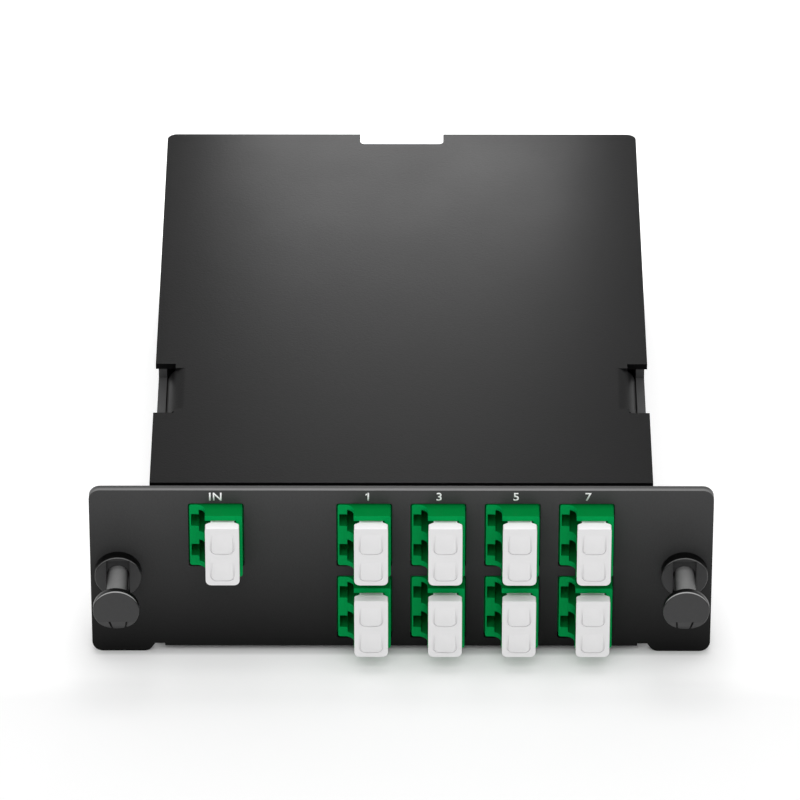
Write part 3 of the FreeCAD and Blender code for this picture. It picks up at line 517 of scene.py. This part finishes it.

# the latches: painted shade, black where they face up, and a painted highlight on the upper rim in front. The
# knob's side is painted black as shade, and the shaft has a painted highlight on top.
latch_black = finish("latch_black", (0.036, 0.036, 0.0365), roughness=0.38, grain=1500.0, bump=0.004,
                     roughness_change=0.08, colour_change=0.2, specular=0.2)
knob_black = finish("knob_black", (0.042, 0.042, 0.0425), roughness=0.38, grain=1500.0, bump=0.004,
                    roughness_change=0.08, colour_change=0.2, specular=0.2)
for latch_finish, rim_highlight_level in ((latch_black, 0.10), (knob_black, 0.34)):
    blend_colour(latch_finish, grey(0.001), facing("Z", 0.05, 0.35))
    blend_colour(latch_finish, grey(rim_highlight_level), facing("Z", 0.3, 0.6), facing("Y", -0.2, -0.5))
blend_colour(knob_black, grey(0.0), at("Y", -13.6, -13.2), at("Y", -12.2, -12.6))
blend_colour(knob_black, grey(0.19), at("Y", -12.6, -12.4), facing("Z", 0.35, 1.0))

screw_black = finish("screw_black", (0.03, 0.03, 0.03), roughness=0.45, grain=1800.0, bump=0.008,
                     roughness_change=0.12, colour_change=0.2, metallic=0.6)
spring_steel = finish("spring_steel", (0.55, 0.55, 0.54), roughness=0.32, grain=1400.0, bump=0.004,
                      roughness_change=0.12, colour_change=0.1, metallic=1.0)
splitter_steel = finish("splitter_steel", (0.60, 0.60, 0.62), roughness=0.30, grain=1200.0, bump=0.004,
                        roughness_change=0.12, colour_change=0.1, metallic=1.0)
tray_grey = finish("tray_grey", (0.55, 0.55, 0.54), roughness=0.48, grain=900.0, bump=0.01,
                   roughness_change=0.08, colour_change=0.06)
fibre_yellow = finish("fibre_yellow", (0.75, 0.62, 0.12), roughness=0.45, grain=900.0, bump=0.006,
                      roughness_change=0.08, colour_change=0.08)
label_ink = finish("label_ink", (0.93, 0.93, 0.93), roughness=0.55, grain=2000.0, bump=0.004,
                   roughness_change=0.08, colour_change=0.06)


# camera, floor and light
def add_camera():
    """The photograph's angle: far away, a little to the right of the middle, looking 33 degrees down."""
    camera = bpy.data.objects.new("camera", bpy.data.cameras.new("camera"))
    bpy.context.scene.collection.objects.link(camera)
    camera.location = CAMERA_PLACE
    camera.rotation_euler = [math.radians(turn) for turn in CAMERA_TURN]
    camera.data.sensor_width = CAMERA_SENSOR
    camera.data.lens = CAMERA_LENS
    camera.data.clip_start = CAMERA_NEAR
    bpy.context.scene.camera = camera
    bpy.context.scene.view_settings.view_transform = "Standard"


def add_world():
    """White where it is seen directly, and the room's lower level on surfaces."""
    world = bpy.data.worlds.new("studio")
    bpy.context.scene.world = world
    world.use_nodes = True
    nodes, links = world.node_tree.nodes, world.node_tree.links
    strength = nodes.new("ShaderNodeMapRange")
    strength.inputs["To Min"].default_value = ROOM_LEVEL
    strength.inputs["To Max"].default_value = 1.0
    links.new(seen_directly(nodes, links), strength.inputs["Value"])
    links.new(strength.outputs["Result"], nodes["Background"].inputs["Strength"])
    nodes["Background"].inputs["Color"].default_value = (1.0, 1.0, 1.0, 1.0)


def add_floor():
    """A pale floor that keeps the object's shadow. It is lifted towards white for the camera and for reflections.
    The lift rises towards the back, painting light over the object's shadow behind and beside it; it is less in the
    foreground and left out below the panel's edge, painting a shadow there."""
    deselect_all()
    bpy.ops.mesh.primitive_plane_add(size=FLOOR_SIZE, location=(0, 0, FLOOR_LEVEL * MM))
    floor = bpy.context.active_object
    floor.name = "floor"
    material = bpy.data.materials.new("pale_floor")
    material.use_nodes = True
    nodes, links = material.node_tree.nodes, material.node_tree.links
    shader = nodes["Principled BSDF"]
    shader.inputs["Base Color"].default_value = (*grey(FLOOR_GREY), 1.0)
    shader.inputs["Roughness"].default_value = FLOOR_ROUGHNESS
    place = nodes.new("ShaderNodeTexCoord")
    split = nodes.new("ShaderNodeSeparateXYZ")
    links.new(place.outputs["Object"], split.inputs["Vector"])
    # painted shadow: the added white is taken away in a band below the panel's edge
    shade = 1.0
    for axis, clear, shaded in PAINTED_SHADOW_STEPS:
        step = soft_step(nodes, links, split.outputs[axis], clear, shaded, 0.0, 1.0)
        shade = reckon(nodes, links, "MULTIPLY", shade, step)
    # the added white rises towards the back, painting light over the object's shadow, and is less in the
    # foreground, painting a soft shadow there
    lift_with_painted_light_and_shadow = soft_step(nodes, links, split.outputs["Y"], *LIFT_AND_PAINTED_LIGHT_STEP)
    for factor in (soft_step(nodes, links, split.outputs["Y"], *FOREGROUND_PAINTED_SHADOW_STEP),
                   reckon(nodes, links, "SUBTRACT", 1.0, shade),
                   seen_directly(nodes, links)):
        lift_with_painted_light_and_shadow = reckon(nodes, links, "MULTIPLY", lift_with_painted_light_and_shadow, factor)
    shader.inputs["Emission Color"].default_value = (1.0, 1.0, 1.0, 1.0)
    links.new(lift_with_painted_light_and_shadow, shader.inputs["Emission Strength"])
    floor.data.materials.append(material)


def add_soft_light(name, place, target, wide, high, watts):
    """A soft lamp at a place, aimed at a target, both in metres. The camera doesn't see the lamp."""
    lamp = bpy.data.lights.new(name, "AREA")
    lamp.shape = "RECTANGLE"
    lamp.size, lamp.size_y = wide, high
    lamp.energy = watts
    item = bpy.data.objects.new(name, lamp)
    bpy.context.scene.collection.objects.link(item)
    item.location = place
    item.rotation_euler = (Vector(target) - Vector(place)).to_track_quat("-Z", "Y").to_euler()
    item.visible_camera = False


# sheet parts
def model_chassis():
    """The folded chassis, with small round corners in the panel's windows and where its foot ends."""
    windows = []
    for port in PORTS:
        x, z = port_middle(port)
        windows.append(((x + ADAPTER_LEFT - WINDOW_GAP, x + ADAPTER_RIGHT + WINDOW_GAP),
                        (z - ADAPTER_HALF_HIGH - WINDOW_GAP, z + ADAPTER_HALF_HIGH + WINDOW_GAP)))

    def is_window_corner(a, b):
        """Whether an edge goes straight through the panel at a corner of one of its windows."""
        return along_depth(a, b, THROUGH_SHEET) and max(a.y, b.y) <= 2 * NEAR and any(
            any(abs(a.x - side) < NEAR for side in sides) and any(abs(a.z - end) < NEAR for end in ends)
            for sides, ends in windows)

    chassis = node_copy("chassis", "dressed_chassis")
    edit(chassis)
    select_edges(chassis, is_window_corner)
    bevel(WINDOW_CORNER, 3)
    select_edges(chassis, lambda a, b: along_depth(a, b, THROUGH_SHEET) and max(a.z, b.z) < FLOOR_LEVEL + NEAR
                 and all(abs(abs(p.x) - FOOT_END) < 2 * NEAR for p in (a, b)))
    bevel(FOOT_CORNER, 4)
    leave_edit()
    soften(chassis, CHASSIS_SOFT, angle=SHEET_ANGLE)
    return chassis


def model_cover():
    """The top cover, with a shallow step across its front end behind the panel."""
    cover = node_copy("top_cover", "dressed_top_cover")
    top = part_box("top_cover")[1].z / MM
    carve(cover, block("step", (-COVER_STEP_HALF_WIDE, -PAST, top - COVER_STEP_DEEP),
                       (COVER_STEP_HALF_WIDE, COVER_STEP_END, top + PAST)))
    soften(cover, COVER_SOFT, angle=SHEET_ANGLE)
    return cover


# dust caps
def model_cap():
    """A double dust cap about a port pair's middle: block, flare, short neck and two plugs, with two finger pads
    that each sit in a pocket."""
    neck_front = CAP_SEAT - NECK_LONG
    flare_front = neck_front - FLARE_LONG
    front = flare_front - BLOCK_LONG
    cap = block("cap", (-CAP_HALF_WIDE, front, -CAP_HALF_HIGH), (CAP_HALF_WIDE, flare_front, CAP_HALF_HIGH))
    edit(cap)
    for end, corner in ((-1, CAP_CORNER), (1, CAP_TOP_CORNER)):
        select_edges(cap, lambda a, b: along_depth(a, b) and min(a.z * end, b.z * end) > 0)
        bevel(corner, 4)
    select_faces(cap, lambda centre, normal: normal.y > SQUARE_ON)
    push(y=FLARE_LONG)
    spread(x=PLUG_HALF_WIDE / CAP_HALF_WIDE, z=NECK_HALF_HIGH / CAP_HALF_HIGH)
    push(y=NECK_LONG)
    leave_edit()
    parts = [cap]
    for side in (-1, 1):
        pocket = pad_shape(front + GROOVE_DEEP, front - PAST, side * PAD_MIDDLE, GROOVE_WIDE)
        slide_top_edge(pocket, side * PAD_MIDDLE + PAD_HALF_HIGH, front, 1, -GROOVE_DEEP - SAME)
        carve(cap, pocket)
        parts.append(model_plug(side * PORT_MIDDLE))
        parts.append(model_pad(front, side * PAD_MIDDLE))
    soften(cap, CAP_SOFT, segments=3)
    return join("cap", *parts)


def model_plug(level):
    """The plug that goes into one port, with a bevelled tip."""
    half_wide = PLUG_HALF_WIDE - PLUG_PLAY
    plug = block("plug", (-half_wide, CAP_SEAT - PLUG_ROOT, level - PLUG_HALF_HIGH),
                 (half_wide, CAP_SEAT + PLUG_LONG, level + PLUG_HALF_HIGH))
    edit(plug)
    select_edges(plug, lambda a, b: min(a.y, b.y) > CAP_SEAT + PLUG_LONG / 2)
    bevel(PLUG_TIP, 1)
    leave_edit()
    return plug


def pad_shape(rear, front, level, margin=0.0):
    """A finger pad's block with its lower corners rounded. The margin widens its sides and bottom."""
    pad = block("pad", (-PAD_HALF_WIDE - margin, front, level - PAD_HALF_HIGH - margin),
                (PAD_HALF_WIDE + margin, rear, level + PAD_HALF_HIGH))
    edit(pad)
    select_edges(pad, lambda a, b: along_depth(a, b) and max(a.z, b.z) < level)
    bevel(PAD_CORNER + margin, 5)
    leave_edit()
    return pad


def slide_top_edge(piece, level, depth, way, step):
    """Moves the top corners at one level along Y by a step: those behind a depth, or before it with way -1."""
    edit(piece)
    mesh = bmesh.from_edit_mesh(piece.data)
    for vert in mesh.verts:
        place = millimetres(vert.co)
        vert.select_set(place.z > level - SAME and (place.y - depth) * way > 0)
    bmesh.update_edit_mesh(piece.data)
    slide(y=step)
    leave_edit()


def model_pad(front, level):
    """A finger pad: flush with the cap at its top and proud at its bottom."""
    pad = pad_shape(front + GROOVE_DEEP + PAD_ROOT, front - PAD_PROUD, level)
    edit(pad)
    select_edges(pad, lambda a, b: max(a.y, b.y) < front and min(a.z, b.z) < level + PAD_HALF_HIGH - SAME)
    bevel(PAD_EDGE, 2)
    leave_edit()
    slide_top_edge(pad, level + PAD_HALF_HIGH, front, -1, PAD_PROUD + SAME)
    bpy.ops.object.shade_smooth_by_angle(angle=math.radians(SHARP_ANGLE))
    return pad


# adapters
def port_tool(front, rear, middle):
    """The shape of a port's opening: a wide part for the plug and a slot at its left for the latch."""
    tool = block("port_tool", (PORT_LEFT, front, middle - PORT_HALF_HIGH),
                 (PORT_RIGHT, rear, middle + PORT_HALF_HIGH))
    slot = block("slot_tool", (SLOT_LEFT, front, middle - SLOT_HALF_HIGH),
                 (PORT_LEFT + INTO, rear, middle + SLOT_HALF_HIGH))
    carve(tool, slot, "UNION")
    return tool


def model_adapter():
    """A duplex adapter about its port pair's middle: stepped block, lip behind the panel, four ports."""
    step = ADAPTER_LEFT + NOSE_STEP
    flush_rear = ADAPTER_REAR - (PANEL_FRONT - ADAPTER_NOSE)
    adapter = block("adapter", (ADAPTER_LEFT, PANEL_FRONT, -ADAPTER_HALF_HIGH),
                    (ADAPTER_RIGHT, flush_rear, ADAPTER_HALF_HIGH))
    edit(adapter)
    select_edges(adapter, along_depth)
    bevel(ADAPTER_CORNER, 3)
    bpy.ops.mesh.select_all(action="SELECT")
    bpy.ops.mesh.bisect(plane_co=(step * MM, 0, 0), plane_no=(1, 0, 0))
    select_faces(adapter, lambda centre, normal: normal.y < -SQUARE_ON and centre.x > step)
    push(y=ADAPTER_NOSE - PANEL_FRONT)
    select_faces(adapter, lambda centre, normal: normal.y > SQUARE_ON and centre.x > step)
    push(y=ADAPTER_REAR - flush_rear)
    select_edges(adapter, lambda a, b: all(
        abs(p.x - step) < SAME and abs(p.y - PANEL_FRONT) < SAME for p in (a, b)))
    bevel(NOSE_FILLET, 8)
    leave_edit()
    lip = block("lip", (ADAPTER_LEFT - LIP_SIDE, LIP_FRONT, -ADAPTER_HALF_HIGH - LIP_END),
                (ADAPTER_RIGHT + LIP_SIDE, LIP_REAR, ADAPTER_HALF_HIGH + LIP_END))
    carve(adapter, lip, "UNION")
    for side in (-1, 1):
        carve(adapter, port_tool(ADAPTER_NOSE - PAST, ADAPTER_NOSE + PORT_DEEP, side * PORT_MIDDLE))
        carve(adapter, port_tool(ADAPTER_REAR - PORT_DEEP, ADAPTER_REAR + PAST, side * PORT_MIDDLE))
    soften(adapter, ADAPTER_SOFT)
    return adapter


# push-pull latches
def round_disc(name, x, radius, front, rear):
    """A disc along Y whose front rim is rounded."""
    disc = drum(name, x, radius, front, rear)
    edit(disc)
    select_edges(disc, lambda a, b: max(a.y, b.y) < front + SAME)
    bevel(RIM_ROUND, 4)
    leave_edit()
    return disc


def model_grommet(x):
    """The latch's collar and barrel: bore, upright recess in the collar, and slits that part the barrel in four."""
    grommet = round_disc("grommet", x, COLLAR_RADIUS, COLLAR_FRONT, PANEL_FRONT)
    carve(grommet, drum("barrel", x, BARREL_RADIUS, PANEL_FRONT - INTO, BARREL_END), "UNION")
    carve(grommet, drum("bore", x, BORE_RADIUS, COLLAR_FRONT - PAST, BARREL_END + PAST))
    carve(grommet, block("recess", (x - RECESS_HALF_WIDE, COLLAR_FRONT - PAST, -RECESS_HALF_HIGH),
                         (x + RECESS_HALF_WIDE, COLLAR_FRONT + RECESS_DEEP, RECESS_HALF_HIGH)))
    half = SLIT_WIDE / 2
    for name, half_wide, half_high in (("upright_slit", half, COLLAR_RADIUS), ("level_slit", COLLAR_RADIUS, half)):
        carve(grommet, block(name, (x - half_wide, SLIT_START, -half_high),
                             (x + half_wide, BARREL_END + PAST, half_high)))
    soften(grommet, LATCH_SOFT)
    return grommet


def model_plunger(x, side):
    """Knob and shaft: a bevelled crescent below the knob's face, with a thumb tab between two slanted slots."""
    plunger = round_disc("plunger", x, KNOB_RADIUS, KNOB_FRONT, KNOB_REAR)
    carve(plunger, model_crescent(x))
    carve(plunger, drum("shaft", x, SHAFT_RADIUS, KNOB_REAR - SHAFT_ROOT, SHAFT_END), "UNION")
    for top, foot in KNOB_SLOTS[side]:
        carve(plunger, model_slot(x + top, x + foot))
    soften(plunger, LATCH_SOFT)
    return plunger


def model_crescent(x):
    """What is cut off the knob's face: hardly anything at the crescent's upper edge, and most at the rim."""
    reach = KNOB_RADIUS + PAST
    slope = CRESCENT_DEEP / (KNOB_RADIUS - CRESCENT_FROM)
    tool = block("crescent_tool", (x - reach, KNOB_FRONT - PAST, -reach),
                 (x + reach, KNOB_FRONT + CRESCENT_STEP, -CRESCENT_FROM))
    edit(tool)
    select_edges(tool, lambda a, b: min(a.y, b.y) > KNOB_FRONT and max(a.z, b.z) < -KNOB_RADIUS)
    slide(y=slope * (reach - CRESCENT_FROM))
    leave_edit()
    return tool


def model_slot(top, foot):
    """A slanted slot's shape, from the crescent's upper edge at one place across to the knob's rim at another."""
    half = SLOT_WIDE / 2
    tool = block("slot_tool", (top - half, KNOB_FRONT - PAST, -KNOB_RADIUS - INTO),
                 (top + half, KNOB_FRONT + SLOT_DEEP, -CRESCENT_FROM + SLOT_TOP))
    edit(tool)
    select_faces(tool, lambda centre, normal: normal.z < -SQUARE_ON)
    slide(x=foot - top)
    leave_edit()
    return tool


# panel numbers
def model_text(words, x):
    """White printed text on the panel: its middle at x, as a thin layer of ink."""
    deselect_all()
    bpy.ops.object.text_add(rotation=(math.pi / 2, 0, 0))
    text = bpy.context.active_object
    text.data.body = words
    text.data.align_x = "CENTER"
    text.data.align_y = "CENTER"
    text.data.size = TEXT_HIGH / CAPITAL_SHARE * MM
    text.data.offset = INK_SPREAD * MM
    text.data.space_character = LETTER_SPACING
    text.name = "print_" + words.lower()
    bpy.ops.object.convert(target="MESH")
    piece = bpy.context.active_object
    bpy.ops.object.transform_apply(location=True, rotation=True, scale=True)
    middle = sum((Vector(corner) for corner in piece.bound_box), Vector()) / 8
    edit(piece)
    bpy.ops.mesh.select_all(action="SELECT")
    bpy.ops.mesh.remove_doubles(threshold=INK_MERGE * MM)
    bpy.ops.transform.translate(
        value=(x * MM - middle.x, PANEL_FRONT * MM - middle.y, TEXT_LEVEL * MM - middle.z))
    push(y=-INK_THICK)
    bpy.ops.mesh.select_all(action="SELECT")
    bpy.ops.mesh.normals_make_consistent(inside=False)
    leave_edit()
    return join(piece.name, piece, model_flag(x)) if words == "1" else piece


def model_flag(x):
    """The short slanted stroke at the top left of the one."""
    top = TEXT_LEVEL + TEXT_HIGH / 2
    flag = block("flag", (x - FLAG_WIDE - FLAG_TAIL, PANEL_FRONT - INK_THICK, top - FLAG_HIGH),
                 (x, PANEL_FRONT, top))
    edit(flag)
    select_faces(flag, lambda centre, normal: normal.x < -SQUARE_ON)
    slide(z=-FLAG_DROP)
    leave_edit()
    return flag


# the studio, and then the cassette piece by piece
add_camera()
add_world()
add_floor()
for soft_lamp in SOFT_LAMPS:
    add_soft_light(*soft_lamp)

stand_for(model_chassis(), "chassis", "cassette", panel_coat)
stand_for(model_cover(), "top_cover", "cassette", cover_coat)

first_cap, first_adapter = model_cap(), model_adapter()
for port in PORTS:
    port_x, port_z = port_middle(port)
    cap_piece = moved_copy(first_cap, "dressed_cap_" + port, port_x, 0, port_z)
    stand_for(cap_piece, "dust_cap_" + port, "cap_" + port, cap_white)
    adapter_piece = moved_copy(first_adapter, "dressed_adapter_" + port, port_x, 0, port_z)
    stand_for(adapter_piece, "adapter_" + port, "cassette", adapter_green)
for pattern in (first_cap, first_adapter):
    bpy.data.objects.remove(pattern, do_unlink=True)

for name, side in (("left", -1), ("right", 1)):
    grommet_piece = model_grommet(side * LATCH_ACROSS)
    grommet_piece.name = "dressed_grommet_" + name
    stand_for(grommet_piece, "latch_grommet_" + name, "cassette", latch_black)
    plunger_piece = model_plunger(side * LATCH_ACROSS, side)
    plunger_piece.name = "dressed_plunger_" + name
    stand_for(plunger_piece, "latch_plunger_" + name, "latch_" + name, knob_black)

for words, across in PANEL_TEXTS.items():
    stand_for(model_text(words, across), None, "cassette", label_ink)

# CAD nodes whose shape is right stay and get a finish
plain_nodes = {"cover_screws": screw_black, "adapter_comb": spring_steel, "fibre_tray": tray_grey,
               "splitter_module_a": splitter_steel, "splitter_module_b": splitter_steel,
               "fibre_coil": fibre_yellow, "fibre_ribbons": fibre_yellow}
plain_nodes.update({"pigtail_connector_" + port: connector_green for port in PORTS})
for node, material in plain_nodes.items():
    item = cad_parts[node]
    item.data.materials.clear()
    item.data.materials.append(material)
